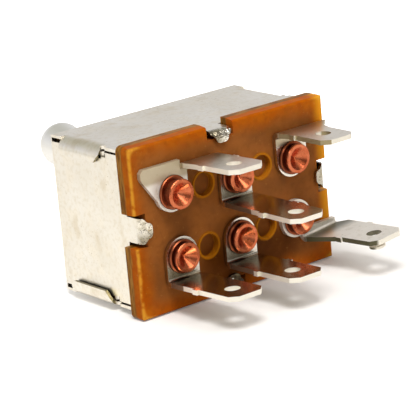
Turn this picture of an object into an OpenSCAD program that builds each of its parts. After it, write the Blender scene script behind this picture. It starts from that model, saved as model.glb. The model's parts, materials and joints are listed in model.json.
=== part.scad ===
// Panel toggle switch, two pole, three position, with six blade terminals.
// Frame: origin on the bushing axis at the case's front face, +Y out along the bushing,
// +X along the two rows of terminals, +Z up as the switch lies on its long side.

/* [Case] */
// Width of the steel case across its side walls
case_w = 36.5; // [35:0.1:38]
// Height of the steel case across its top and bottom walls
case_h = 24.8; // [24:0.1:26.5]
// Depth of the steel case, from its front face to the base plate
case_d = 18.2; // [18:0.1:20]
// Thickness of the folded sheet steel
sheet = 0.5; // [0.45:0.05:0.7]
// Outside radius of the folds round the front face
fold_r = 0.95; // [0.9:0.05:1.4]
// Gap left under the upper corner tabs and between pieces that lie on each other
seam = 0.1; // [0.05:0.01:0.15]
// Width of the open seam between neighbouring walls
wall_gap = 0.35; // [0.1:0.05:0.45]
// Gap between the lower corner tabs, which stand off a little, and the side walls
tab_gap = 0.3; // [0.15:0.05:0.35]
// Height of the upper corner tabs wrapped over the side walls
tab_h = 2.6; // [2.2:0.1:3.2]
// Height of the lower corner tabs wrapped over the side walls
low_tab_h = 2.2; // [1.9:0.1:2.6]
// Outside radius of the fold in the upper corner tabs
tab_fold_r = 1.9; // [1.2:0.1:2]
// Outside radius of the fold in the lower corner tabs
low_tab_fold_r = 1.35; // [1.2:0.05:1.6]
// Length of the corner tabs along the case
tab_l = 10.0; // [8:0.1:10.6]
// Distance from the front face to the corner tabs
tab_start = 3.2; // [2.4:0.1:3.5]

/* [Ears] */
// Width of each crimped ear where it leaves its wall
ear_w = 3.9; // [3.4:0.1:4.2]
// Width of each crimped ear at its tip
ear_tip_w = 2.4; // [1.8:0.1:2.8]
// How far each ear reaches over the base plate from the wall's outside
ear_reach = 2.0; // [1.9:0.1:2.4]
// Outside radius of the fold in each ear
ear_r = 1.3; // [1:0.1:1.4]
// Offset along X of the ears on the top and bottom walls
ear_shift_x = -1.7; // [-2:0.1:2]
// Offset along Z of the ears on the side walls
ear_shift_z = 0.5; // [-1:0.1:1]
// Gap round each ear in its notch
ear_gap = 0.6; // [0.3:0.05:0.8]

/* [Base plate] */
// How far the base plate overhangs the case on every side
plate_lip = 0.9; // [0.6:0.05:1.1]
// Thickness of the moulded base plate
plate_t = 2.8; // [2.4:0.1:3.2]
// Thickness of the base plate behind its parting line
plate_band = 1.2; // [0.9:0.1:1.4]
// Inset of the base plate's sloping sides at its front face
plate_draft = 0.15; // [0.1:0.05:0.3]
// Radius of the moulded front edge of the base plate
plate_edge_r = 0.4; // [0.2:0.05:0.6]
// Corner radius of the base plate
plate_corner_r = 0.9; // [0.8:0.1:1.4]
// Radius of the four spare recesses in the base plate
recess_r = 1.8; // [1.4:0.1:2]
// Depth of the four spare recesses
recess_depth = 0.8; // [0.4:0.1:1.1]
// Width of the raised rim round each recess
recess_rim = 0.3; // [0.2:0.05:0.35]
// Height of the raised rim round each recess
rim_h = 0.14; // [0.08:0.02:0.2]

/* [Terminals] */
// Distance between the columns of terminals
pitch_x = 11.4; // [11:0.1:11.8]
// Distance between the two rows of terminals
pitch_z = 9.6; // [9.3:0.1:10]
// Thickness of the terminal strip
strip = 0.75; // [0.65:0.05:0.85]
// Width of the spade blades
blade_w = 6.35; // [6:0.05:6.5]
// Length of the spade blade beyond its stop nibs
blade_l = 7.3; // [7:0.1:7.8]
// Chamfer on the corners of the blade's tip
blade_chamfer = 1.2; // [0.8:0.1:1.4]
// Radius of the hole in each blade
blade_hole_r = 1.2; // [0.9:0.05:1.3]
// Distance from the blade's tip to its hole
blade_hole_back = 4.0; // [3.6:0.1:4.2]
// Width of each stop nib along the blade
nib_w = 1.1; // [0.8:0.1:1.2]
// Height of each stop nib beyond the blade's edge
nib_h = 0.35; // [0.2:0.05:0.4]
// Radius of the round foot under each rivet
foot_r = 3.0; // [2.9:0.05:3.1]
// Radius of the fold between foot and blade
strip_fold_r = 1.15; // [1:0.05:1.3]

/* [Rivets] */
// Radius of the rivet's shank in the base plate and foot
shank_r = 1.8; // [1.5:0.05:1.9]
// Clearance round the rivet's shank
shank_gap = 0.02; // [0.01:0.01:0.04]
// Radius of the rivet's rolled collar on the foot
collar_r = 2.6; // [2.5:0.05:2.7]
// Thickness of the rivet's rolled collar
collar_t = 0.5; // [0.3:0.05:0.6]
// Radius of the groove between the rivet's collar and its lip
groove_r = 2.0; // [1.9:0.05:2.1]
// Radius of the rivet's outer lip
lip_r = 2.3; // [2.2:0.05:2.4]
// Thickness of the rivet's outer lip
lip_t = 0.5; // [0.3:0.05:0.6]
// Radius of the conical mouth in the lip
mouth_r = 1.75; // [1.5:0.05:1.8]
// Depth of the conical mouth
mouth_depth = 1.5; // [1.2:0.1:1.7]
// Radius of the contact head inside the case
head_r = 2.9; // [2.6:0.1:3]
// Thickness of the contact head inside the case
head_t = 1.05; // [0.9:0.05:1.2]

/* [Bushing] */
// Outside radius of the threaded bushing
bushing_r = 5.95; // [5.6:0.05:6.3]
// Length of the threaded bushing beyond the front face
bushing_l = 11.9; // [11.5:0.1:13]
// Radius of the bushing's neck in the front wall
neck_r = 4.9; // [4.7:0.05:5.2]
// Radius of the rim peened over inside the front wall
peen_r = 5.7; // [5.5:0.05:6]
// Thickness of the peened rim
peen_t = 0.7; // [0.5:0.05:0.9]
// Width of the relief groove cut in the thread just outside the nut
relief_w = 0.6; // [0.55:0.05:0.8]
// Depth of the relief groove in the thread
relief_depth = 0.35; // [0.2:0.05:0.5]
// Radius of the bushing's mouth round the lever
throat_r = 4.7; // [4.6:0.05:4.8]

/* [Lever] */
// Angle of the lever either side of its centre position
throw = 13; // [10:0.5:14]
// Distance from the front face to the pivot
pivot_y = 3.6; // [3.4:0.1:4]
// Radius of the pivot ball
ball_r = 3.4; // [3.2:0.05:3.5]
// Running clearance round the pivot ball, pin and drive ball
running = 0.05; // [0.03:0.01:0.08]
// Distance from the pivot to the centre of the rounded lever tip
lever_l = 30.6; // [28:0.1:33]
// Radius of the rounded lever tip
tip_r = 3.8; // [3.3:0.1:3.9]
// Radius of the lever where it leaves the ball
waist_r = 2.1; // [1.9:0.05:2.2]
// Length of the lever's waist that stands out of the bushing
waist_out = 1; // [0.6:0.1:1.6]
// Distance from the pivot to the drive ball
arm_l = 13.0; // [12.6:0.1:13.2]
// Radius of the inner arm
arm_r = 1.5; // [1.3:0.05:1.6]
// Radius of the drive ball
drive_r = 2.1; // [2:0.05:2.2]
// Radius of the pivot pin
pin_r = 0.8; // [0.7:0.05:0.9]
// Distance that each end of the pivot pin stays under the thread
pin_recess = 0.7; // [0.5:0.1:1]

/* [Carriage] */
// Length of the sliding carriage
carriage_l = 24; // [22:0.5:26]
// Running clearance between the carriage and its guides
slide_gap = 0.1; // [0.05:0.01:0.15]
// Thickness of the carriage's two guide wings
wing_t = 2.6; // [2.2:0.1:3]
// Height of the carriage's middle block above its underside
block_h = 9.3; // [9:0.1:9.6]
// Clearance between the carriage's underside and the contact heads
under_gap = 0.4; // [0.3:0.05:0.5]
// Height of the spring pockets in the carriage
pocket_h = 3.8; // [3.5:0.1:4]
// Thickness of the insulating liner
liner_t = 0.4; // [0.3:0.05:0.5]

/* [Contacts] */
// Length of each sliding contact bar
bar_l = 14.6; // [14:0.1:15]
// Width of each sliding contact bar
bar_w = 3.9; // [3.6:0.1:4]
// Thickness of each sliding contact bar
bar_t = 0.9; // [0.7:0.05:1]
// Clearance between the contact bars and the contact heads
bar_gap = 0.03; // [0.02:0.01:0.05]
// Clearance of each contact bar in its pocket
pocket_gap = 0.1; // [0.05:0.01:0.15]
// Mean radius of the contact springs
coil_r = 1.45; // [1.2:0.05:1.5]
// Wire radius of the contact springs
wire_r = 0.22; // [0.18:0.01:0.25]
// Turns in each contact spring
coil_turns = 4; // [3:1:5]

/* [Hardware] */
// Distance across the flats of the hex nut
nut_af = 14.3; // [14:0.1:16]
// Thickness of the hex nut
nut_t = 2.0; // [1.6:0.1:2.4]
// Outside radius of the toothed lock washer
washer_r = 8.2; // [8:0.1:8.6]
// Thickness of the toothed lock washer
washer_t = 0.6; // [0.5:0.05:0.8]
// Depth of the teeth round the lock washer
tooth_h = 0.9; // [0.7:0.05:1.1]
// Radial clearance of the nut and washer on the thread
thread_gap = 0.05; // [0.03:0.01:0.08]

/* [Hidden] */
$fn = 72;
cut = 1; // spare length on cutting shapes

side_x = case_w / 2; // outside of the side walls
top_z = case_h / 2; // outside of the top wall
plate_back = -case_d; // back of the base plate, inside the case
plate_front = plate_back - plate_t; // front of the base plate, under the terminals
plate_w = case_w + 2 * plate_lip;
plate_h = case_h + 2 * plate_lip;
head_y = plate_back + head_t; // face of the contact heads
carriage_bottom = head_y + under_gap;
carriage_top = carriage_bottom + block_h;
pocket_top = carriage_bottom + pocket_h;
bar_y = head_y + bar_gap; // contact side of the bars
liner_out_z = top_z - sheet - seam;
liner_front = -sheet - seam;
wing_z = liner_out_z - liner_t - slide_gap; // outside of the guide wings
wing_top = liner_front - liner_t - slide_gap;
travel = arm_l * sin(throw); // carriage's offset at either end
bore_r = ball_r + running;

// One row per terminal: column, row, fold (1 over the rivet, -1 under it), reach of the fold
// from the rivet, root's left and right edges, blade's middle, tip, length beyond blade_l, tilt, roll.
LAYOUT = [
  [-1, 1, 1, 4.05, 1.8, 8.5, 5.5, 12.5, 0, 2, 0],
  [0, 1, -1, 4.1, -foot_r, foot_r, 0.1, 17.3, 0, 0, 0],
  [1, 1, 1, 4.5, -foot_r, 7.0, 1.0, 11.2, 0, 0, 0],
  [-1, -1, -1, 4.1, -foot_r, foot_r, 0.1, 15.8, 1.2, 2.5, 0],
  [0, -1, -1, 4.2, -foot_r, foot_r, 0, 16.2, 1.2, 2, 0],
  [1, -1, -1, 4.1, 0.6, 7.6, 5.8, 15.0, 0.6, 4, 6],
];
// How far each rivet stands off its grid place along X and Z, and beyond its foot along Y
RIVET_X = [-0.7, 0, 0, 0, 0, 0];
RIVET_Z = [0.45, 0, 0.2, 0, 0, 0];
RIVET_OUT = [2.2, 1.75, 1.6, 1.4, 1.4, 1.65];
// How much farther than blade_hole_back each blade's hole lies from its tip
HOLE_BACK = [-0.35, -0.6, 0, 0, 0, -0.5];
// Reach of the lug on the left of the first terminal's foot
lug_l = 5.6;

// Turns a flat outline in X and Z into a slab from y0 to y1.
module slab_y(y0, y1) {
  translate([0, y1, 0]) rotate([90, 0, 0]) linear_extrude(y1 - y0) children();
}

// Turns a flat outline in Y and Z into a bar from x0 to x1.
module bar_x(x0, x1) {
  translate([x0, 0, 0]) rotate([90, 0, 90]) linear_extrude(x1 - x0) children();
}

// Turns a flat outline in X and Y into a slab from z0 to z1.
module slab_z(z0, z1) {
  translate([0, 0, z0]) linear_extrude(z1 - z0) children();
}

// Turns an outline of radius and height into a round piece whose axis is Y.
module turned_y() {
  rotate([-90, 0, 0]) rotate_extrude() children();
}

// A round bar along Y.
module rod_y(r, y0, y1) {
  translate([0, y0, 0]) rotate([-90, 0, 0]) cylinder(r = r, h = y1 - y0);
}

// A rectangle centred on the origin with round corners.
module round_rect(w, h, r) {
  square([w - 2 * r, h], center = true);
  square([w, h - 2 * r], center = true);
  for (sx = [-1, 1], sy = [-1, 1]) translate([sx * (w / 2 - r), sy * (h / 2 - r)]) circle(r);
}

// Section of the base plate, half width w, with its front edge at positive y.
module plate_section(w) {
  front_w = w - plate_draft;
  edge_y = -plate_front - plate_edge_r;
  translate([-w, -plate_back]) square([2 * w, plate_band]);
  polygon([[-w, plate_band - plate_back], [w, plate_band - plate_back], [front_w, edge_y],
    [front_w - plate_edge_r, -plate_front], [plate_edge_r - front_w, -plate_front], [-front_w, edge_y]]);
  for (m = [-1, 1]) translate([m * (front_w - plate_edge_r), edge_y]) circle(plate_edge_r);
}

// A bar from a to b in its first axis and from c to d in its second, with round corners at its d end.
module round_end(a, b, c, d, r) {
  translate([a, c]) square([b - a, d - r - c]);
  translate([a + r, c]) square([b - a - 2 * r, d - c]);
  for (p = [a + r, b - r]) translate([p, d - r]) circle(r);
}

// One crimped ear, leaving a wall whose outside is at x = 0 and folded over the base plate towards -X.
module ear_fold() {
  lies_on = plate_front - seam;
  bend_y = lies_on - sheet + ear_r;
  nose_r = ear_tip_w / 3;
  intersection() {
    // profile of the wall's end, the fold and the part that lies on the base plate
    slab_z(-ear_w, ear_w) {
      translate([-sheet, bend_y]) square([sheet, plate_back - bend_y]);
      translate([-ear_reach, lies_on - sheet]) square([ear_reach - ear_r, sheet]);
      translate([-ear_r, bend_y]) intersection() {
        difference() {
          circle(ear_r);
          circle(ear_r - sheet);
        }
        translate([0, -ear_r]) square(ear_r);
      }
    }
    // outline of the ear seen from the front, tapered to a round tip
    slab_y(lies_on - sheet - cut, plate_back) {
      polygon([[0, -ear_w / 2], [0, ear_w / 2], [-sheet, ear_w / 2], [nose_r - ear_reach, ear_tip_w / 2],
        [-ear_reach, ear_tip_w / 2 - nose_r], [-ear_reach, nose_r - ear_tip_w / 2],
        [nose_r - ear_reach, -ear_tip_w / 2], [-sheet, -ear_w / 2]]);
      for (s = [-1, 1]) translate([nose_r - ear_reach, s * (ear_tip_w / 2 - nose_r)]) circle(nose_r);
    }
  }
}

// Puts a copy of its children on each wall: left, right, top and bottom.
module on_walls() {
  translate([side_x, 0, ear_shift_z]) children();
  translate([-side_x, 0, ear_shift_z]) rotate([0, 180, 0]) children();
  translate([ear_shift_x, 0, top_z]) rotate([0, -90, 0]) children();
  translate([ear_shift_x, 0, -top_z]) rotate([0, 90, 0]) children();
}

// The steel case: one blank folded into a front panel and four walls, with an ear on each wall.
module case() {
  color([0.82, 0.81, 0.78]) {
    difference() {
      box_shell();
      rod_y(neck_r, -sheet - cut, cut);
      corners(top_z) {
        seam_cut();
        relief_slot();
        tab_seat(seam, tab_fold_r);
      }
      corners(-top_z) {
        seam_cut();
        relief_slot();
        tab_seat(tab_gap, low_tab_fold_r);
      }
    }
    corners(top_z) corner_tab(tab_h, seam, tab_fold_r);
    corners(-top_z) corner_tab(low_tab_h, tab_gap, low_tab_fold_r);
    on_walls() ear_fold();
  }
}

// Five walls of the case, rounded at the folds, open at the base plate.
module box_shell() {
  fold_in = fold_r - sheet;
  difference() {
    intersection() {
      slab_z(-top_z, top_z) round_end(-side_x, side_x, plate_back, 0, fold_r);
      rotate([0, -90, 0]) slab_z(-side_x, side_x) round_end(-top_z, top_z, plate_back, 0, fold_r);
    }
    intersection() {
      slab_z(-top_z, top_z)
        round_end(-side_x + sheet, side_x - sheet, plate_back - cut, -sheet, fold_in);
      rotate([0, -90, 0]) slab_z(-side_x, side_x)
        round_end(-top_z + sheet, top_z - sheet, plate_back - cut, -sheet, fold_in);
    }
  }
}

// Repeats its children, drawn at the case's upper right corner, at both corners of height z.
module corners(z) {
  for (mx = [0, 1]) mirror([mx, 0, 0]) mirror([0, 0, z < 0 ? 1 : 0]) children();
}

// The open seam between the top wall and a side wall.
module seam_cut() {
  translate([side_x - fold_r, plate_back - cut, top_z - sheet - wall_gap])
    cube([fold_r + cut, case_d + cut - fold_r, wall_gap]);
}

// The room that a corner tab's fold takes from the two walls.
module tab_seat(gap, outer_r) {
  translate([side_x + gap + sheet - outer_r, -tab_start - tab_l, top_z - outer_r])
    cube([outer_r + cut, tab_l, outer_r + cut]);
}

// The relief slot punched at the end of a corner fold, and the one beside the corner tab.
module relief_slot() {
  slot_h = 0.65;
  notch_r = 0.55;
  translate([side_x - fold_r, -tab_start, top_z - sheet - slot_h + seam])
    cube([fold_r + cut, tab_start - fold_r + seam, slot_h]);
  translate([side_x, -tab_start - tab_l - notch_r, top_z - sheet - seam - cut])
    cylinder(r = notch_r, h = cut + sheet + seam + cut);
}

// A corner tab: a wall's edge folded over the outside of a side wall, h high and a gap away from it.
module corner_tab(h, gap, outer_r) {
  tab_x = side_x + gap + sheet;
  chamfer = 1.4;
  tab_end = -tab_start - tab_l;
  intersection() {
    slab_y(tab_end, -tab_start) {
      translate([tab_x - outer_r, top_z - outer_r]) intersection() {
        difference() {
          circle(outer_r);
          circle(outer_r - sheet);
        }
        square(outer_r);
      }
      translate([tab_x - sheet, top_z - h]) square([sheet, h - outer_r]);
    }
    // the tab's free corners are clipped
    bar_x(0, tab_x + cut) polygon([[tab_end, top_z], [-tab_start, top_z],
      [-tab_start, top_z - h + chamfer / 2], [-tab_start - chamfer / 2, top_z - h],
      [tab_end + chamfer, top_z - h], [tab_end, top_z - h + chamfer]]);
  }
}

// The moulded base plate that carries the rivets and is held by the four ears.
module base_plate() {
  color([0.72, 0.36, 0.08]) difference() {
    union() {
      intersection() {
        slab_y(plate_front, plate_back) round_rect(plate_w, plate_h, plate_corner_r);
        mirror([0, 1, 0]) slab_z(-plate_h, plate_h) plate_section(plate_w / 2);
        mirror([0, 1, 0]) rotate([0, -90, 0]) slab_z(-plate_w, plate_w) plate_section(plate_h / 2);
      }
      at_recesses() rod_y(recess_r + recess_rim, -rim_h, cut);
    }
    at_recesses() rod_y(recess_r, -cut, recess_depth);
    at_rivets() rod_y(shank_r + shank_gap, -cut, plate_t + cut);
    on_walls() ear_notch();
  }
}

// The notch in the base plate's edge that an ear passes through.
module ear_notch() {
  w = ear_w + 2 * ear_gap;
  translate([-ear_r, plate_front - cut, -w / 2]) cube([ear_r + plate_lip + cut, plate_t + 2 * cut, w]);
}

// Repeats its children on the base plate's front, midway between neighbouring terminals.
module at_recesses() {
  for (sx = [-1, 1], sz = [-1, 1])
    translate([sx * pitch_x / 2, plate_front, sz * pitch_z / 2]) children();
}

// Places of rivet number i along X and Z.
function rivet_x(i) = LAYOUT[i][0] * pitch_x + RIVET_X[i];
function rivet_z(i) = LAYOUT[i][1] * pitch_z / 2 + RIVET_Z[i];

// Repeats its children on the base plate's front, at each rivet.
module at_rivets() {
  for (i = [0:len(LAYOUT) - 1]) translate([rivet_x(i), plate_front, rivet_z(i)]) children();
}

// Places its children at terminal number i, turned by its roll.
module at_terminal(i) {
  translate([rivet_x(i), plate_front, rivet_z(i)]) rotate([0, -LAYOUT[i][10], 0]) children();
}

// Places its children on the blade of terminal number i, below or above the fold and tilted with it.
module at_blade(i) {
  t = LAYOUT[i];
  fold_z = t[2] * (t[3] - strip_fold_r);
  at_terminal(i) translate([0, -strip_fold_r, fold_z]) rotate([-t[9], 0, 0])
    translate([0, strip_fold_r, t[2] * strip_fold_r]) children();
}

// Terminal number i: a foot under the rivet, a fold and a spade blade, stamped from one strip.
module terminal(i) {
  t = LAYOUT[i];
  fold = t[2];
  fold_z = fold * (t[3] - strip_fold_r);
  color([0.86, 0.84, 0.79]) difference() {
    union() {
      at_terminal(i) {
        slab_y(-strip, 0) foot_outline(i, fold, fold_z);
        translate([0, -strip_fold_r, fold_z]) bar_x(t[4], t[5]) intersection() {
          difference() {
            circle(strip_fold_r);
            circle(strip_fold_r - strip);
          }
          translate([0, fold > 0 ? 0 : -strip_fold_r]) square(strip_fold_r);
        }
      }
      at_blade(i) slab_z(fold > 0 ? -strip : 0, fold > 0 ? 0 : strip)
        blade_outline(t[4], t[5], t[6], t[7], blade_l + t[8] - t[7], blade_hole_back + HOLE_BACK[i] - t[7]);
    }
    at_terminal(i) rod_y(shank_r + shank_gap, -strip - cut, cut);
  }
}

// Outline of a terminal's foot, seen from the front: round at the rivet and square at the fold.
module foot_outline(i, fold, fold_z) {
  left = LAYOUT[i][4];
  right = LAYOUT[i][5];
  arm = 0.35; // height of the strip beside the fold
  circle(foot_r);
  if (i == 0) {
    // this foot spreads to a lug on the left, with a slanting lower edge and clipped corners
    lug_h = 1.6; // height of the lug over the start of the fold
    clip = 0.5;
    web = 0.15;
    polygon([[-foot_r * sin(35), -foot_r * cos(35)], [-lug_l + clip / 3, fold_z - clip / 3],
      [-lug_l, fold_z + clip / 2], [-lug_l, fold_z + lug_h - clip], [-lug_l + clip, fold_z + lug_h],
      [left, fold_z + lug_h], [left, fold_z], [right, fold_z], [right, fold_z - web],
      [foot_r, fold_z - web], [foot_r, 0]]);
  } else {
    polygon([[-foot_r, 0], [max(left, -foot_r), fold_z], [right, fold_z], [right, fold_z - fold * arm],
      [foot_r, fold_z - fold * 2 * arm], [foot_r, 0]]);
  }
}

// Outline of a blade, seen from above: root, stop nibs, blade with a clipped tip, and its hole.
// The root runs from root_l to root_r; it meets the blade at stop_y. The hole lies at hole_y.
module blade_outline(root_l, root_r, middle, tip, stop_y, hole_y) {
  l = middle - blade_w / 2;
  r = middle + blade_w / 2;
  start = 0.1 - strip_fold_r;
  flare_y = max(stop_y, start - abs(root_r - r)); // where the root reaches the blade's right edge
  difference() {
    union() {
      polygon([[root_l, start], [l, stop_y], [l, blade_chamfer - tip], [l + blade_chamfer, -tip],
        [r - blade_chamfer, -tip], [r, blade_chamfer - tip], [r, flare_y], [root_r, start]]);
      for (x = [l, r]) translate([x - nib_h, stop_y - nib_w / 2]) square([2 * nib_h, nib_w]);
    }
    translate([middle, hole_y]) circle(blade_hole_r);
  }
}

// The small stud riveted into the last terminal's blade, beside its hole.
module tip_stud() {
  rod_r = 0.8;
  flange_r = 1.25;
  drop = 0.8;
  flange_t = 0.35;
  inset = 1.85; // from the blade's near edge
  back = 0.5; // behind the blade's clipped corner
  t = LAYOUT[5];
  color([0.86, 0.84, 0.79])
    at_blade(5) translate([t[6] - blade_w / 2 + inset, blade_chamfer + back - t[7], -drop]) {
      cylinder(r = rod_r, h = drop);
      cylinder(r = flange_r, h = flange_t);
    }
}

// The bottom right terminal with its stud.
module studded_terminal() {
  terminal(5);
  tip_stud();
}

// Rivet number i: contact head inside, shank, rolled collar, groove and a lip with a conical mouth.
module rivet(i) {
  chamfer = 0.25;
  edge = 0.12; // rounding of the collar and the lip
  foot_y = plate_front - strip;
  collar_y = foot_y - collar_t;
  end_y = foot_y - RIVET_OUT[i];
  lip_y = end_y + lip_t;
  color([0.78, 0.42, 0.26]) translate([rivet_x(i), 0, rivet_z(i)]) turned_y() polygon([
    [0, head_y], [head_r - chamfer, head_y], [head_r, head_y - chamfer], [head_r, plate_back],
    [shank_r, plate_back], [shank_r, foot_y], [collar_r - edge, foot_y], [collar_r, foot_y - edge],
    [collar_r, collar_y + edge], [collar_r - edge, collar_y], [groove_r, collar_y],
    [groove_r, lip_y], [lip_r - edge, lip_y], [lip_r, lip_y - edge], [lip_r, end_y + edge],
    [lip_r - edge, end_y], [mouth_r, end_y], [0, end_y + mouth_depth]]);
}

// The threaded bushing, staked into the front wall; it holds the pivot pin and the lever's ball.
module bushing() {
  chamfer = 0.5;
  relief_y = washer_t + nut_t + seam;
  relief_r = bushing_r - relief_depth;
  color([0.80, 0.80, 0.78]) difference() {
    turned_y() polygon([
      [bore_r, -sheet - peen_t], [peen_r, -sheet - peen_t], [peen_r, -sheet], [neck_r, -sheet],
      [neck_r, 0], [bushing_r, 0], [bushing_r, relief_y], [relief_r, relief_y],
      [relief_r, relief_y + relief_w], [bushing_r, relief_y + relief_w],
      [bushing_r, bushing_l - chamfer], [bushing_r - chamfer, bushing_l],
      [throat_r, bushing_l], [bore_r, pivot_y + ball_r], [bore_r, -sheet - peen_t]]);
    translate([0, pivot_y, -bushing_r]) cylinder(r = pin_r, h = 2 * bushing_r);
  }
}

// The toggle lever: rounded handle, waist, pivot ball, inner arm and drive ball, turned as one piece.
module lever() {
  neck_start = sqrt(ball_r * ball_r - waist_r * waist_r);
  arm_start = sqrt(ball_r * ball_r - arm_r * arm_r);
  arm_end = sqrt(drive_r * drive_r - arm_r * arm_r);
  waist_end = bushing_l - pivot_y + waist_out;
  color([0.84, 0.84, 0.83]) translate([0, pivot_y, 0]) difference() {
    rotate([0, 0, -throw]) {
      rotate([-90, 0, 0]) rotate_extrude() half() union() {
        circle(ball_r);
        square([waist_r, waist_end]);
        polygon([[0, waist_end], [waist_r, waist_end], [tip_r, lever_l], [0, lever_l]]);
        translate([0, lever_l]) circle(tip_r);
        translate([0, -arm_l]) square([arm_r, arm_l]);
        translate([0, -arm_l]) circle(drive_r);
      }
    }
    translate([0, 0, -ball_r - cut]) cylinder(r = pin_r + running, h = 2 * (ball_r + cut));
  }
}

// Keeps the half of a flat outline that lies at positive radius.
module half() {
  intersection() {
    children();
    translate([0, -2 * arm_l]) square([2 * ball_r, 4 * arm_l + 2 * lever_l]);
  }
}

// The pin through the bushing and the lever's ball.
module pivot_pin() {
  color([0.6, 0.6, 0.62]) translate([0, pivot_y, pin_recess - bushing_r])
    cylinder(r = pin_r, h = 2 * (bushing_r - pin_recess));
}

// The moulded carriage that the lever drives sideways; it carries both contact bars.
module carriage() {
  slot_z = drive_r + 2 * running;
  slot_bottom = pivot_y - arm_l - drive_r - 3 * running;
  color([0.30, 0.20, 0.12]) translate([-travel, 0, 0]) difference() {
    union() {
      translate([-carriage_l / 2, carriage_bottom, -wing_z]) cube([carriage_l, block_h, 2 * wing_z]);
      for (s = [0, 1]) mirror([0, 0, s]) translate([-carriage_l / 2, carriage_bottom, wing_z - wing_t])
        cube([carriage_l, wing_top - carriage_bottom, wing_t]);
    }
    translate([-drive_r - running, slot_bottom, -slot_z])
      cube([2 * (drive_r + running), carriage_top - slot_bottom + cut, 2 * slot_z]);
    for (s = [-1, 1]) translate([0, carriage_bottom, s * pitch_z / 2])
      translate([-bar_l / 2 - pocket_gap, -cut, -bar_w / 2 - pocket_gap])
        cube([bar_l + 2 * pocket_gap, cut + pocket_h, bar_w + 2 * pocket_gap]);
  }
}

// A contact bar that bridges two neighbouring contact heads; side is 1 for the top row.
module contact_bar(side) {
  ramp = 0.4;
  color([0.80, 0.52, 0.34]) translate([-travel, 0, side * pitch_z / 2]) slab_z(-bar_w / 2, bar_w / 2)
    polygon([[-bar_l / 2, bar_y + bar_t], [-bar_l / 2, bar_y + ramp], [-bar_l / 2 + ramp, bar_y],
      [bar_l / 2 - ramp, bar_y], [bar_l / 2, bar_y + ramp], [bar_l / 2, bar_y + bar_t]]);
}

// The coil spring that presses a contact bar onto the contact heads; side is 1 for the top row.
module contact_spring(side) {
  steps = 14; // stations in each turn
  ring = 6; // corners of the wire's section
  low = bar_y + bar_t + wire_r;
  high = pocket_top - wire_r;
  stations = coil_turns * steps;
  points = [for (i = [0:stations], k = [0:ring - 1])
    let (a = 360 * i / steps, b = 360 * k / ring, r = coil_r + wire_r * cos(b))
    [r * cos(a), low + (high - low) * i / stations + wire_r * sin(b), r * sin(a)]];
  sides = [for (i = [0:stations - 1], k = [0:ring - 1])
    let (n = (k + 1) % ring, p = i * ring, q = p + ring) [p + k, q + k, q + n, p + n]];
  color([0.7, 0.7, 0.72]) translate([-travel, 0, side * pitch_z / 2])
    polyhedron(points, concat(sides, [[for (k = [0:ring - 1]) k]],
      [[for (k = [ring - 1:-1:0]) stations * ring + k]]));
}

// The folded fibre sheet that keeps the live parts off the case.
module liner() {
  half_w = side_x - fold_r;
  fold_in = fold_r - sheet;
  color([0.45, 0.30, 0.18]) difference() {
    rotate([0, -90, 0]) slab_z(-half_w, half_w) difference() {
      round_end(-liner_out_z, liner_out_z, plate_back + seam, liner_front, fold_in);
      translate([liner_t - liner_out_z, plate_back - cut])
        square([2 * (liner_out_z - liner_t), liner_front - liner_t - plate_back + cut]);
    }
    rod_y(peen_r + seam, liner_front - liner_t - cut, cut);
  }
}

// The lock washer with teeth round its edge, between the case and the nut.
module lock_washer() {
  teeth = 18;
  tooth_w = 1.3;
  color([0.75, 0.75, 0.74]) difference() {
    union() {
      rod_y(washer_r - tooth_h, 0, washer_t);
      for (i = [0:teeth - 1]) rotate([0, i * 360 / teeth, 0])
        translate([-tooth_w / 2, 0, 0]) cube([tooth_w, washer_t, washer_r]);
    }
    rod_y(bushing_r + thread_gap, -cut, washer_t + cut);
  }
}

// The hex nut that clamps the switch to its panel.
module hex_nut() {
  bevel = 0.8;
  corner_r = nut_af / 2 / cos(30);
  color([0.80, 0.80, 0.78]) translate([0, washer_t, 0]) difference() {
    intersection() {
      rotate([-90, 0, 0]) cylinder(r = corner_r, h = nut_t, $fn = 6);
      turned_y() polygon([[0, 0], [corner_r - bevel, 0], [corner_r, bevel / 2],
        [corner_r, nut_t - bevel / 2], [corner_r - bevel, nut_t], [0, nut_t]]);
    }
    rod_y(bushing_r + thread_gap, -cut, nut_t + cut);
  }
}

case();
base_plate();
terminal(0);  // terminal_top_left
terminal(1);  // terminal_top_middle
terminal(2);  // terminal_top_right
terminal(3);  // terminal_bottom_left
terminal(4);  // terminal_bottom_middle
studded_terminal();  // terminal_bottom_right
rivet(0);  // rivet_top_left
rivet(1);  // rivet_top_middle
rivet(2);  // rivet_top_right
rivet(3);  // rivet_bottom_left
rivet(4);  // rivet_bottom_middle
rivet(5);  // rivet_bottom_right
bushing();
lever();
pivot_pin();
carriage();
contact_bar(1);  // contact_bar_top
contact_bar(-1);  // contact_bar_bottom
contact_spring(1);  // contact_spring_top
contact_spring(-1);  // contact_spring_bottom
liner();
lock_washer();
hex_nut();
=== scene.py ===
import json
import math

import bpy
from mathutils import Matrix, Vector


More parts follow.
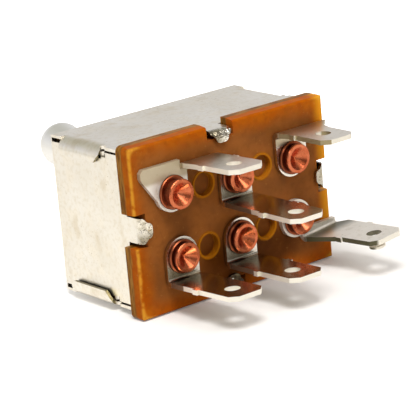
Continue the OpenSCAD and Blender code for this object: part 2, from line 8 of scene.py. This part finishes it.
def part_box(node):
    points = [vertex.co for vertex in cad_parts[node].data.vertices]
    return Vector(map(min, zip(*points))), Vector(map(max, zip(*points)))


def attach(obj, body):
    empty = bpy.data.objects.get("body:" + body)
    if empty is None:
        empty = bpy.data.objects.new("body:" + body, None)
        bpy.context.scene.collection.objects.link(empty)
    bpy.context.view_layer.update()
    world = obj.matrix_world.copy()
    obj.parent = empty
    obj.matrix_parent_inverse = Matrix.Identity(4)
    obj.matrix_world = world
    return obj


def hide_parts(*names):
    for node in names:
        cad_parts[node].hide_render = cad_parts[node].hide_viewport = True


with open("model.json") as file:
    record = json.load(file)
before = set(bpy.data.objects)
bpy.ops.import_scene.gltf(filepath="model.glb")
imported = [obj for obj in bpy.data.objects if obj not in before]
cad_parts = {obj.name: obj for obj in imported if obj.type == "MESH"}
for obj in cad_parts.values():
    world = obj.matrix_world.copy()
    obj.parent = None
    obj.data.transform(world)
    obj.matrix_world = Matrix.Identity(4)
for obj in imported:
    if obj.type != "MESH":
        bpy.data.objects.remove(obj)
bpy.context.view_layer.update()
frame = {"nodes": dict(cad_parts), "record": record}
MM = 0.001

# ---------------------------------------------------------------- Camera
# A long lens looks down a little on the terminals and the left side of the case, and the camera is
# turned slightly about its own axis.

view_turn = math.radians(-38.11)
view_rise = math.radians(16.25)
view_roll = math.radians(-5.10)
view_distance = 316.3 * MM
aim = Vector((-3.25, -18.5, 0)) * MM

back = Vector((math.sin(view_turn) * math.cos(view_rise), -math.cos(view_turn) * math.cos(view_rise),
               math.sin(view_rise)))
level = Vector((math.cos(view_turn), math.sin(view_turn), 0))
right = level * math.cos(view_roll) + back.cross(level) * math.sin(view_roll)
up = back.cross(right)
camera = bpy.data.objects.new("camera", bpy.data.cameras.new("camera"))
camera.matrix_world = Matrix.Translation(aim + back * view_distance) @ Matrix(
    (right, up, back)).transposed().to_4x4()
camera.data.lens = 181.0
camera.data.sensor_width = 36
camera.data.clip_start = 0.01
camera.data.clip_end = 50
bpy.context.scene.collection.objects.link(camera)
bpy.context.scene.camera = camera
bpy.context.scene.view_settings.view_transform = "Standard"

# ---------------------------------------------------------------- Table and surroundings
# The switch lies on its long side on a white table that runs out of view in every direction. The
# room is pale behind the switch and darker in front and overhead, and three soft lamps shine on it
# from above its front.


class Value:
    """A shader socket that can be used in sums."""

    def __init__(self, finish, socket):
        self.finish = finish
        self.socket = socket

    def __add__(self, other):
        return self.finish.math("ADD", self, other)

    def __radd__(self, other):
        return self.finish.math("ADD", other, self)

    def __sub__(self, other):
        return self.finish.math("SUBTRACT", self, other)

    def __rsub__(self, other):
        return self.finish.math("SUBTRACT", other, self)

    def __mul__(self, other):
        return self.finish.math("MULTIPLY", self, other)

    def __rmul__(self, other):
        return self.finish.math("MULTIPLY", other, self)


class Finish:
    """The nodes of one material, or of the world."""

    def __init__(self, owner):
        owner.use_nodes = True
        self.owner = owner
        self.tree = owner.node_tree
        self.tree.nodes.clear()

    def node(self, kind, settings, sockets, output=0):
        """Makes a node with these settings and inputs, and gives the value of one of its outputs."""
        made = self.tree.nodes.new(kind)
        for name, setting in settings.items():
            if name == "stops":
                elements = made.color_ramp.elements
                while len(elements) < len(setting):
                    elements.new(1)
                for element, (place, colour) in zip(elements, setting):
                    element.position = place
                    element.color = (*colour, 1)
            else:
                setattr(made, name, setting)
        for name, value in sockets.items():
            socket = made.inputs[name]
            if isinstance(value, Value):
                self.tree.links.new(value.socket, socket)
            elif socket.type == "RGBA":
                socket.default_value = (*value, 1)
            else:
                socket.default_value = value
        return Value(self, made.outputs[output]) if made.outputs else None

    def split(self, vector, axes="XYZ"):
        """The values of a vector along some of its axes."""
        return [self.node("ShaderNodeSeparateXYZ", {}, {0: vector}, axis) for axis in axes]

    def place(self):
        """X, Y and Z in millimetres, in the part's frame."""
        where = self.node("ShaderNodeTexCoord", {}, {}, "Object")
        self.point = self.node("ShaderNodeVectorMath", {"operation": "SCALE"}, {0: where, "Scale": 1 / MM})
        return self.split(self.point)

    def ray(self, kind):
        """1 for rays of one kind, such as those of the camera, and 0 for the others."""
        return self.node("ShaderNodeLightPath", {}, {}, kind)

    def math(self, operation, *values):
        return self.node("ShaderNodeMath", {"operation": operation}, dict(enumerate(values)))

    def distance(self, first, second):
        """The length of a line, from its lengths along two axes."""
        return self.math("SQRT", first * first + second * second)

    def ramp(self, value, low, high):
        """0 below low and 1 above high, with a smooth rise between."""
        return self.node("ShaderNodeMapRange", {"interpolation_type": "SMOOTHSTEP"},
                         {"Value": value, "From Min": low, "From Max": high})

    def fall(self, value, low, high):
        """1 below low and 0 above high, with a smooth fall between."""
        return 1 - self.ramp(value, low, high)

    def noise(self, size, detail=2.0, stretch=(1, 1, 1), seed=0.0):
        """Smooth noise from 0 to 1, whose grains are about size millimetres across."""
        spot = self.node("ShaderNodeVectorMath", {"operation": "MULTIPLY_ADD"},
                         {0: self.point, 1: tuple(1 / (size * s) for s in stretch), 2: (seed, seed, seed)})
        return self.node("ShaderNodeTexNoise", {}, {"Vector": spot, "Scale": 1.0, "Detail": detail})

    def blend(self, amount, first, second):
        """A colour between two colours."""
        return self.node("ShaderNodeMix", {"data_type": "RGBA"}, {0: amount, 6: first, 7: second}, 2)

    def gradient(self, value, stops):
        """A colour that changes with a value from 0 to 1, through stops of a value and a colour."""
        return self.node("ShaderNodeValToRGB", {"stops": stops}, {0: value})

    def facing(self, axis):
        """How squarely a surface faces along an axis of the part, from 0 to 1."""
        normal = self.node("ShaderNodeTexCoord", {}, {}, "Normal")
        return self.math("ABSOLUTE", self.split(normal, axis)[0])

    def crevice(self, reach):
        """1 deep in a corner or slot narrower than reach millimetres, and 0 in the open."""
        return 1 - self.node("ShaderNodeAmbientOcclusion", {"samples": 8}, {"Distance": reach * MM}, "AO")

    def bump(self, height, depth):
        """A normal that follows height, where 1 stands depth millimetres high."""
        return self.node("ShaderNodeBump", {}, {"Height": height, "Strength": 1.0, "Distance": depth * MM})

    def surface(self, **sockets):
        """The finished material, given the inputs of its shader by name."""
        named = {name.replace("_", " ").title().replace("Ior", "IOR"): value
                 for name, value in sockets.items()}
        shader = self.node("ShaderNodeBsdfPrincipled", {}, named)
        self.node("ShaderNodeOutputMaterial", {}, {"Surface": shader})
        return self.owner


def new_finish(name):
    return Finish(bpy.data.materials.new(name))


def new_mesh(name, points, faces, material, smooth=True):
    """A mesh object whose points are in millimetres."""
    mesh = bpy.data.meshes.new(name)
    mesh.from_pydata([Vector(p) * MM for p in points], [], faces)
    mesh.materials.append(material)
    mesh.polygons.foreach_set("use_smooth", [smooth] * len(mesh.polygons))
    piece = bpy.data.objects.new(name, mesh)
    bpy.context.scene.collection.objects.link(piece)
    return piece


def corners(node):
    """The lowest and highest corners of a node at rest, in millimetres."""
    return [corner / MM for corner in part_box(node)]


plate_low, plate_high = corners("base_plate")
table_z = plate_low.z
table_reach = 4000
table_tint = (0.95, 0.93, 0.91)
near_glow = 0.09  # how much the table glows near the switch, where 1 is pure white
mirrored_glow = 0.13  # how bright the table looks in the metal
shadow_middle = (10, -38)  # the shadows of the blades fall round here
glow_grows = (28, 80)  # the table pales to pure white between these distances from there

table_finish = new_finish("table_white")
table_x, table_y, _ = table_finish.place()
seen = table_finish.ray("Is Camera Ray")
mirrored = table_finish.ray("Is Glossy Ray")
away = table_finish.distance(table_x - shadow_middle[0], table_y - shadow_middle[1])
far_glow = table_finish.ramp(away, *glow_grows) * (1 - near_glow)
paper = table_finish.node("ShaderNodeBsdfDiffuse", {}, {"Color": table_tint})
shine = table_finish.node("ShaderNodeEmission", {}, {
    "Strength": seen * (far_glow + near_glow) + mirrored * mirrored_glow})
both = table_finish.node("ShaderNodeAddShader", {}, {0: paper, 1: shine})
table_finish.node("ShaderNodeOutputMaterial", {}, {"Surface": both})
table_points = [(x, y, table_z) for x, y in [(-table_reach, -table_reach), (table_reach, -table_reach),
                                             (table_reach, table_reach), (-table_reach, table_reach)]]
table = new_mesh("table", table_points, [(0, 1, 2, 3)], table_finish.owner, smooth=False)

room = bpy.data.worlds.new("room")
bpy.context.scene.world = room
walls = Finish(room)
# how far back and how far up a direction points, from -1 to 1
depth, height = walls.split(walls.node("ShaderNodeTexCoord", {}, {}, "Generated"), "YZ")
behind = walls.gradient(height, [
    (0.0, (1.0, 0.99, 0.96)), (0.12, (0.90, 0.89, 0.90)), (0.28, (0.71, 0.71, 0.77)),
    (0.60, (0.56, 0.55, 0.47)), (0.80, (0.26, 0.25, 0.22)), (1.0, (0.20, 0.19, 0.17))])
front = walls.gradient(height, [
    (0.0, (0.80, 0.78, 0.75)), (0.10, (0.40, 0.38, 0.36)), (0.35, (0.22, 0.20, 0.18)),
    (1.0, (0.22, 0.20, 0.18))])
shade = walls.blend(walls.fall(depth, -0.35, 0.25), behind, front)
walls.node("ShaderNodeOutputWorld", {}, {"Surface": walls.node("ShaderNodeBackground", {}, {
    "Color": walls.blend(walls.ray("Is Camera Ray"), shade, (1.0, 1.0, 1.0))})})


def soft_box(name, toward, distance, width, height, level):
    """A rectangular lamp, in metres, that shines at the switch with the given brightness."""
    lamp = bpy.data.lights.new(name, "AREA")
    lamp.shape = "RECTANGLE"
    lamp.size = width
    lamp.size_y = height
    lamp.energy = level * math.pi * width * height
    holder = bpy.data.objects.new(name, lamp)
    away = Vector(toward).normalized()
    holder.location = aim + away * distance
    holder.rotation_euler = away.to_track_quat("Z", "Y").to_euler()
    bpy.context.scene.collection.objects.link(holder)


soft_box("soft_box_above", toward=(-0.28, -0.37, 0.885), distance=0.6, width=0.20, height=0.20, level=19.0)
soft_box("soft_box_front", toward=(-0.45, -0.62, 0.64), distance=0.7, width=0.16, height=0.10, level=5.0)
soft_box("soft_box_right", toward=(0.22, -0.58, 0.78), distance=0.6, width=0.30, height=0.20, level=4.5)

# ---------------------------------------------------------------- Case
# One blank of thin tinned steel, mottled and stained, folded into a box that is open at the back.
# Corner tabs with dark cut edges wrap over the side walls, and four ears are crimped over the base
# plate, which leaves them wrinkled.

plate_front = plate_low.y
plate_lip = 0.9  # how far the base plate stands out past the side walls
side = plate_high.x - plate_lip  # outside of the side walls
ear_crease = plate_front + 1.2  # the ears are wrinkled in front of this
# soft limits, each from its start to its end
side_ears = (14, 15)  # the left and right ears lie farther out than this
end_ears = (9.5, 10.5)  # the top and bottom ears lie farther up or down than this
left_ear_middle = (-0.8, 0.8)  # along Z
top_ear_middle = (-2.6, -1.2)  # along X

case_finish = new_finish("case_steel")
case_x, case_y, case_z = case_finish.place()
clouds = case_finish.noise(9, 3)
patches = case_finish.noise(2.4, 4, seed=31)
mottle = case_finish.noise(0.7, 4, seed=41)
grain = case_finish.noise(0.35, 2, seed=3)
scattered = case_finish.ramp(case_finish.noise(5, 2, seed=17), 0.40, 0.62)
specks = case_finish.ramp(case_finish.noise(0.28, 1, seed=7) + scattered * 0.08, 0.72, 0.86)
stain = case_finish.ramp(case_finish.noise(3.0, 4, stretch=(1, 1, 1.6), seed=21), 0.56, 0.72)
cut_edge = (case_finish.ramp(case_finish.math("ABSOLUTE", case_x), side + 0.02, side + 0.08)
            * case_finish.fall(case_finish.facing("X"), 0.4, 0.6))
tin = case_finish.blend(case_finish.ramp(clouds, 0.3, 0.7), (0.84, 0.79, 0.68), (0.90, 0.86, 0.77))
tin = case_finish.blend(case_finish.ramp(patches, 0.45, 0.70) * 0.35, tin, (0.92, 0.84, 0.68))
tin = case_finish.blend(case_finish.ramp(mottle, 0.45, 0.70) * 0.35, tin, (0.70, 0.62, 0.45))
tin = case_finish.blend(stain * 0.45, tin, (0.70, 0.60, 0.42))
tin = case_finish.blend(specks * 0.55, tin, (0.42, 0.33, 0.19))
tin = case_finish.blend(cut_edge, tin, (0.28, 0.24, 0.13))

# the ears: painted dark reflections in their wrinkles, on half of the left and top ones and on the right
# one, and painted shade over all of the bottom one
crease = case_finish.fall(case_y, plate_front, ear_crease)
dents = case_finish.noise(0.8, 2, seed=13)
at_left = case_finish.ramp(0 - case_x, *side_ears)
at_right = case_finish.ramp(case_x, *side_ears)
at_top = case_finish.ramp(case_z, *end_ears)
at_bottom = case_finish.ramp(0 - case_z, *end_ears)
left_half = at_left * case_finish.fall(case_z, *left_ear_middle)
top_half = at_top * case_finish.fall(case_x, *top_ear_middle)
dark_reflecting_ears = case_finish.math("MAXIMUM", case_finish.math("MAXIMUM", left_half, at_right * 0.7), top_half)
tin = case_finish.blend(crease * dark_reflecting_ears * 0.8, tin, (0.24, 0.20, 0.13))
tin = case_finish.blend(crease * at_bottom, tin, (0.07, 0.05, 0.03))
tin = case_finish.blend(crease * 0.5 * case_finish.fall(dents, 0.35, 0.6), tin, (0.30, 0.25, 0.14))
# painted shade, near black, deep in the slots and corners
tin = case_finish.blend(case_finish.ramp(case_finish.crevice(1.2), 0.35, 0.80), tin, (0.05, 0.04, 0.03))
ripple = case_finish.noise(1.6, 2, seed=11)
case_steel = case_finish.surface(
    base_color=tin, metallic=1.0, roughness=0.26 + patches * 0.12 + specks * 0.2 - crease * 0.10,
    normal=case_finish.bump(ripple * 0.02 + grain * 0.003 + dents * crease * 0.32, 1.0))


def dress(slot, material):
    """Gives every node of a record's material slot its finish."""
    for part in frame["record"]["subparts"]:
        if part["material_slot"] == slot:
            for held in frame["nodes"][part["node"]].material_slots:
                held.material = material


dress("case_steel", case_steel)

# ---------------------------------------------------------------- Base plate
# Amber phenolic, moulded with shallow rimmed recesses between the terminals. Light soaking into it is
# painted into its colour: an orange glow on its rim, and a red-brown middle over the dark inside of the
# case.

plate_band = plate_high.y - 1.2  # the parting line round the plate's sides
rim_radius = 1.95
recess_x, recess_z = 5.7, 4.8
# soft limits of the painted shade under the lower blades and of the painted glow on the right edge
dark_left = (-11.0, -5.0)  # the plate is darkest right of this,
dark_right = (9.0, 14.0)  # left of this
dark_below = (-7.5, -2.0)  # and below this
glow_above = (-9.5, -7.0)  # its right edge glows above this

base_finish = new_finish("base_moulding")
base_x, base_y, base_z = base_finish.place()
from_side = plate_high.x - base_finish.math("ABSOLUTE", base_x)
from_top = plate_high.z - base_finish.math("ABSOLUTE", base_z)
inset = base_finish.math("SMOOTH_MIN", from_side, from_top, 2.0)
swirl = base_finish.noise(6, 3)
blotch = base_finish.noise(1.6, 3, seed=15)
fleck = base_finish.ramp(base_finish.noise(0.45, 2, seed=9), 0.66, 0.76)

# the front: a painted glow on the rim round a darker middle, painted shade under the lower blades and a
# painted glow on the right edge, clouded all over
glow_left = base_finish.fall(base_x - plate_low.x, 0.5, 7.0)
edge_tone = base_finish.blend(glow_left, (0.42, 0.086, 0.001), (0.37, 0.072, 0.001))
edge_tone = base_finish.blend(base_finish.ramp(blotch, 0.35, 0.75) * 0.5, edge_tone, (0.50, 0.140, 0.003))
swirled = base_finish.ramp(swirl, 0.3, 0.7)
middle_tone = base_finish.blend(swirled, (0.20, 0.066, 0.015), (0.31, 0.100, 0.020))
# painted shade under the lower blades
shade_under_blades = (base_finish.fall(base_z, *dark_below) * base_finish.ramp(base_x, *dark_left)
                * base_finish.fall(base_x, *dark_right))
middle_tone = base_finish.blend(shade_under_blades, middle_tone, (0.082, 0.021, 0.002))
inward = base_finish.ramp(inset + (swirl - 0.5) * 3, 0.2, 3.4)
amber = base_finish.blend(inward, edge_tone, middle_tone)
cloudy = base_finish.ramp(base_finish.noise(0.9, 3, seed=19), 0.45, 0.70)
amber = base_finish.blend(cloudy * 0.22, amber, (0.13, 0.040, 0.006))
# a painted glow along the right edge
glow_right = (base_finish.fall(plate_high.x - base_x, 0.3, 2.2 + swirl)
              * base_finish.ramp(base_z, *glow_above))
amber = base_finish.blend(glow_right, amber, (0.74, 0.30, 0.012))

# the sides: streaks behind the parting line, and a painted glow along the corner with the front
streaks = base_finish.noise(0.45, 3, stretch=(7, 1, 7), seed=12)
behind_line = base_finish.ramp(base_y + (streaks - 0.5), plate_band - 0.3, plate_band + 0.1)
streaked = base_finish.ramp(streaks, 0.35, 0.65)
side_tone = base_finish.blend(streaked, (0.14, 0.050, 0.006), (0.33, 0.150, 0.025))
amber = base_finish.blend(behind_line, amber, side_tone)
corner_gap = base_finish.math("SMOOTH_MAX", inset, base_y - plate_front, 0.3)
corner_glow = (base_finish.fall(corner_gap, 0.15, 0.75) * base_finish.ramp(blotch, 0.30, 0.55)
               * base_finish.fall(from_side, 1.0, 3.5))
amber = base_finish.blend(corner_glow * 0.85, amber, (0.72, 0.35, 0.035))

# a painted glow on the rims of the recesses, then flecks, and painted shade in the corners and recesses
from_recess = base_finish.distance(base_finish.math("ABSOLUTE", base_x) - recess_x,
                                   base_finish.math("ABSOLUTE", base_z) - recess_z)
rim_gap = base_finish.math("ABSOLUTE", from_recess - rim_radius)
amber = base_finish.blend(base_finish.fall(rim_gap, 0.12, 0.42) * 0.85, amber, (0.44, 0.15, 0.004))
amber = base_finish.blend(fleck * 0.25, amber, (0.50, 0.24, 0.06))
amber = base_finish.blend(base_finish.crevice(0.5) * 0.4, amber, (0.05, 0.015, 0.004))
base_moulding = base_finish.surface(
    base_color=amber, roughness=0.36 + swirl * 0.1,
    specular_ior_level=0.06, specular_tint=(1.0, 0.60, 0.25),
    subsurface_weight=0.15, subsurface_radius=(1.0, 0.35, 0.08), subsurface_scale=1.0 * MM,
    normal=base_finish.bump(base_finish.noise(1.2, 2, seed=5), 0.012))
dress("base_moulding", base_moulding)

# ---------------------------------------------------------------- Terminals
# Six spade blades, stamped from tinned strip, each folded from a foot that is riveted to the base
# plate. The two upper blades, the one with a stud and the foot with a lug are satin. The others are
# brighter. Painted dark reflections of the plate lie on the roots, on the tops of the lower blades and on
# the edges near the plate, with painted shade in corners and a painted highlight on the sheared edges.

lug_low, lug_high = corners("terminal_top_left")
strip = 0.75
foot_front = lug_high.y - strip
# soft limits
lug_foot_right = (lug_low.x + 8.2, lug_low.x + 8.8)  # the foot with the lug ends left of this
upper_feet = (0.0, 1.0)  # the feet of the upper row lie above this
upper_blades = (6.8, 7.6)  # the two upper blades lie above this
lower_row = (-1.0, 0.0)  # the lower row lies below this
middle_column = (-6, -5)  # the terminals in the middle lie right of this
right_column = (7.5, 8.5)  # the terminals on the right lie right of this
right_column_edges = (15.0, 15.4)  # the left edges of their blades lie left of this
hole_edge = (2.0, 2.6)  # squared distances from the hole's middle, a little outside its wall
stud_hole = (17.2, -32.4)  # middle of the hole beside the stud, along X and Y

terminal_finish = new_finish("terminal_plate")
terminal_x, terminal_y, terminal_z = terminal_finish.place()
ahead = plate_front - terminal_y  # how far in front of the base plate
film = terminal_finish.noise(3, 3)
lines = terminal_finish.noise(0.25, 2, stretch=(1, 14, 1), seed=2)
on_right = terminal_finish.ramp(terminal_x, *right_column)
upper_row = terminal_finish.ramp(terminal_z, *upper_blades)
stud_blade = on_right * terminal_finish.fall(terminal_z, *lower_row)
satin_foot = (terminal_finish.ramp(terminal_y, foot_front - 0.3, foot_front)
              * terminal_finish.fall(terminal_x, *lug_foot_right)
              * terminal_finish.ramp(terminal_z, *upper_feet))
satin = terminal_finish.math("MAXIMUM", satin_foot, terminal_finish.math("MAXIMUM", upper_row, stud_blade))

# the faces: painted dark reflections of the plate at the roots and on top, painted shade in the corners,
# and smudges and freckles all over
tinned = terminal_finish.blend(film, (0.80, 0.74, 0.64), (0.89, 0.85, 0.78))
# painted brown reflection of the plate on the roots of the upper blades
upper_root = terminal_finish.fall(ahead, 1.0, 6.0) * upper_row
tinned = terminal_finish.blend(upper_root * 0.8, tinned, (0.42, 0.33, 0.18))
# painted shade on the stud blade's root, near the plate
stud_root = (stud_blade * terminal_finish.ramp(ahead, 0.8, 1.15)
             * terminal_finish.fall(ahead, 2.0, 5.0))
tinned = terminal_finish.blend(stud_root * 0.9, tinned, (0.13, 0.12, 0.07))
# painted dark reflection of the plate on the tops of the lower blades
low_top_reflection = ((1 - satin) * terminal_finish.ramp(terminal_finish.facing("Z"), 0.6, 0.8)
           * terminal_finish.ramp(ahead, 1.5, 2.5))
tinned = terminal_finish.blend(low_top_reflection * 0.75, tinned, (0.40, 0.35, 0.23))
# painted shade in the folds and corners
corner_shade = terminal_finish.ramp(terminal_finish.crevice(3.0), 0.22, 0.60) * (1 - satin)
tinned = terminal_finish.blend(corner_shade * 0.8, tinned, (0.16, 0.13, 0.07))
smudges = terminal_finish.ramp(terminal_finish.noise(1.1, 4, seed=33), 0.52, 0.72)
tinned = terminal_finish.blend(smudges * 0.30, tinned, (0.52, 0.45, 0.32))
freckles = terminal_finish.ramp(terminal_finish.noise(0.4, 2, seed=25), 0.66, 0.74)
tinned = terminal_finish.blend(freckles * 0.5, tinned, (0.35, 0.28, 0.16))

# the sheared edges: a painted highlight, but painted dark reflections of the plate near the plate and on
# the left of the right-hand blades, and painted shade in the hole beside the stud
# a painted highlight on the sheared edges
sheared = (terminal_finish.fall(terminal_finish.facing("Z"), 0.25, 0.5)
           * terminal_finish.ramp(ahead, 1.0, 1.4))
tinned = terminal_finish.blend(sheared * 0.8, tinned, (0.95, 0.91, 0.80))
# painted dark reflection of the plate on the edges near it
root_length = 4.0 + terminal_finish.ramp(terminal_x, *middle_column) * 3.2
root_edge = (sheared * (1 - satin) * terminal_finish.fall(terminal_finish.facing("Y"), 0.5, 0.7)
             * terminal_finish.fall(ahead - root_length, 0.0, 0.2))
tinned = terminal_finish.blend(root_edge * 0.9, tinned, (0.20, 0.12, 0.06))
# painted dark reflection of the plate on the left edges of the right-hand blades
painted_dark_edge = (sheared * on_right * terminal_finish.fall(terminal_x, *right_column_edges)
             * terminal_finish.ramp(terminal_finish.facing("X"), 0.3, 0.6))
# painted shade on the wall of the hole beside the stud
hole_x, hole_y = terminal_x - stud_hole[0], terminal_y - stud_hole[1]
in_hole = sheared * stud_blade * terminal_finish.fall(hole_x * hole_x + hole_y * hole_y, *hole_edge)
painted_dark_edge = terminal_finish.math("MAXIMUM", painted_dark_edge, in_hole * 0.9)
dark_edge_tone = terminal_finish.blend(stud_blade, (0.44, 0.37, 0.22), (0.12, 0.11, 0.06))
tinned = terminal_finish.blend(painted_dark_edge, tinned, dark_edge_tone)
terminal_plate = terminal_finish.surface(
    base_color=tinned,
    metallic=1.0 - satin_foot * 0.6 - stud_blade * (1 - stud_root) * 0.35,
    roughness=0.18 + film * 0.08 + satin * 0.15 + sheared * 0.28,
    normal=terminal_finish.bump(lines, 0.0015))
dress("terminal_plate", terminal_plate)

# ---------------------------------------------------------------- Rivets
# Turned copper rivets with a rolled collar on the foot. The end that shows is drilled with a cone,
# and painted shade darkens the copper on its flanks and behind its lip, most of all in the groove behind
# its lip.

lip_length = 0.5
# soft limits, as squared distances from a rivet's axis
cone_edge = (3.3, 3.8)
collar_edge = (11.0, 12.0)

rivet_finish = new_finish("rivet_copper")
rivet_x, rivet_y, rivet_z = rivet_finish.place()
behind_lip = 0
for rivet in [name for name in frame["nodes"] if name.startswith("rivet_")]:
    tip, head = corners(rivet)
    off_x, off_z = rivet_x - (tip.x + head.x) / 2, rivet_z - (tip.z + head.z) / 2
    squared = off_x * off_x + off_z * off_z
    near = rivet_finish.ramp(squared, *cone_edge) * rivet_finish.fall(squared, *collar_edge)
    lip_back = tip.y + lip_length
    behind_lip += near * rivet_finish.ramp(rivet_y, lip_back, lip_back + 0.1)
tarnish = rivet_finish.ramp(rivet_finish.noise(1.2, 3), 0.3, 0.7)
facing_along_y = rivet_finish.ramp(rivet_finish.facing("Y"), 0.25, 0.55)
copper = rivet_finish.blend(tarnish, (0.50, 0.115, 0.045), (0.66, 0.19, 0.085))
# painted shade on the flanks, which face sideways
copper = rivet_finish.blend(facing_along_y, (0.30, 0.070, 0.030), copper)
# painted shade behind the lip, near black deep in the groove
copper = rivet_finish.blend(behind_lip * 0.6, copper, (0.24, 0.070, 0.028))
copper = rivet_finish.blend(rivet_finish.crevice(0.8) * 0.9 * behind_lip, copper, (0.05, 0.015, 0.01))
rivet_copper = rivet_finish.surface(
    base_color=copper, metallic=1.0, roughness=0.36 - facing_along_y * 0.12 + tarnish * 0.06 + behind_lip * 0.10,
    normal=rivet_finish.bump(rivet_finish.noise(0.3, 2), 0.006))
dress("rivet_copper", rivet_copper)

# ---------------------------------------------------------------- Threaded bushing
# Turned brass, nickel plated, with a fine thread of 32 turns to the inch, staked into the front wall
# of the case. A groove cuts the thread just outside the nut.

bushing_finish = new_finish("bushing_plate")
bushing_finish.place()
dull = bushing_finish.noise(2, 3)
bushing_plate = bushing_finish.surface(
    base_color=bushing_finish.blend(dull, (0.74, 0.73, 0.70), (0.84, 0.83, 0.81)),
    metallic=1.0, roughness=0.20 + dull * 0.12,
    normal=bushing_finish.bump(bushing_finish.noise(0.3, 2, seed=4), 0.002))

bushing_low, bushing_high = corners("bushing")
thread_r = bushing_high.x
thread_length = bushing_high.y
thread_depth = 0.45
thread_pitch = 25.4 / 32
flank_slope = 1.7  # how steeply the thread rises between its flat root and its flat crest
root_flat = 0.35
lead_in = 0.5
groove = (2.7, 3.3)  # its ends along Y
groove_depth = 0.35
wall = 0.5
neck_r = 4.9
peen_r = 5.7
peen_round = 0.2
bore_r = 3.45
throat_r = 4.7
throat_y = 7.0
rows_per_turn = 10
ring_points = 96


def thread_height(turns):
    """Height of the thread, from 0 at its root to 1 at its crest, at a number of turns along it."""
    return min(1.0, max(0.0, flank_slope * (1 - 2 * abs(turns % 1 - 0.5)) - root_flat))


# the outline, from the peened rim round the outside to the bore: (y, radius, depth of thread cut)
outline = [(bushing_low.y, bore_r, 0), (bushing_low.y, peen_r - peen_round, 0),
           (bushing_low.y + peen_round, peen_r, 0), (-wall, peen_r, 0), (-wall, neck_r, 0), (0, neck_r, 0),
           (0, thread_r - thread_depth, 0)]
steps = round(thread_length / thread_pitch * rows_per_turn)
for step in range(steps + 1):
    y = thread_length * step / steps
    if groove[0] < y < groove[1]:
        outline.append((y, thread_r - groove_depth, 0))
    else:
        ends = min(1.0, y / lead_in, (thread_length - y) / lead_in)
        outline.append((y, thread_r - (1 - ends) * thread_depth, thread_depth * ends))
outline += [(thread_length, throat_r, 0), (throat_y, bore_r, 0)]
points = []
for y, radius, cut in outline:
    for spot in range(ring_points):
        angle = 2 * math.pi * spot / ring_points
        rise = thread_height(y / thread_pitch - spot / ring_points)
        reach = radius - cut * (1 - rise)
        points.append((reach * math.cos(angle), y, reach * math.sin(angle)))
faces = []
for row in range(len(outline)):
    first = row * ring_points
    second = (row + 1) % len(outline) * ring_points
    for spot in range(ring_points):
        after = (spot + 1) % ring_points
        faces.append((first + spot, second + spot, second + after, first + after))
threaded = new_mesh("threaded_bushing", points, faces, bushing_plate)
threaded.data.set_sharp_from_angle(angle=math.radians(35))
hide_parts("bushing")
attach(threaded, "housing")

# ---------------------------------------------------------------- Nut and lock washer
# A thin steel hex nut on the bushing's thread, over a lock washer with teeth round its rim. Both
# are nickel plated.

hardware_finish = new_finish("hardware_plate")
hardware_finish.place()
worn = hardware_finish.noise(2.5, 3)
dress("hardware_plate", hardware_finish.surface(
    base_color=hardware_finish.blend(worn, (0.70, 0.69, 0.66), (0.82, 0.81, 0.78)),
    metallic=1.0, roughness=0.24 + worn * 0.14,
    normal=hardware_finish.bump(hardware_finish.noise(0.4, 2, seed=6), 0.004)))

# ---------------------------------------------------------------- Lever
# A bat lever, turned from brass and nickel plated. It pivots on its ball, inside the bushing, about a
# steel pin.

lever_finish = new_finish("lever_metal")
lever_finish.place()
haze = lever_finish.noise(4, 2)
dress("lever_metal", lever_finish.surface(
    base_color=lever_finish.blend(haze, (0.93, 0.92, 0.87), (0.97, 0.96, 0.92)),
    metallic=1.0, roughness=0.34 + haze * 0.12,
    normal=lever_finish.bump(lever_finish.noise(0.5, 2, seed=8), 0.002)))

# ---------------------------------------------------------------- Pieces inside the case
# A steel pivot pin, a dark moulded carriage, copper contact bars on steel springs, and a liner of
# brown fibre.


def plain_finish(name, dark, light, metallic, roughness, size):
    """A finish mottled faintly between two tones, in spots about size millimetres across."""
    finish = new_finish(name)
    finish.place()
    mottling = finish.noise(size, 3)
    return finish.surface(base_color=finish.blend(mottling, dark, light), metallic=metallic,
                          roughness=roughness + mottling * 0.1,
                          normal=finish.bump(finish.noise(size / 4, 2), 0.01))


# slot, dark tone, light tone, metallic, roughness, size of the mottling
inner_finishes = [("pin_steel", (0.50, 0.50, 0.50), (0.60, 0.60, 0.60), 1.0, 0.30, 1.0),
                  ("carriage_moulding", (0.05, 0.03, 0.02), (0.08, 0.05, 0.03), 0.0, 0.40, 2.0),
                  ("contact_copper", (0.75, 0.40, 0.26), (0.86, 0.50, 0.34), 1.0, 0.25, 1.0),
                  ("spring_steel", (0.60, 0.60, 0.60), (0.70, 0.70, 0.70), 1.0, 0.25, 1.0),
                  ("liner_fibre", (0.20, 0.11, 0.05), (0.28, 0.16, 0.08), 0.0, 0.70, 1.0)]
for slot, *look in inner_finishes:
    dress(slot, plain_finish(slot, *look))
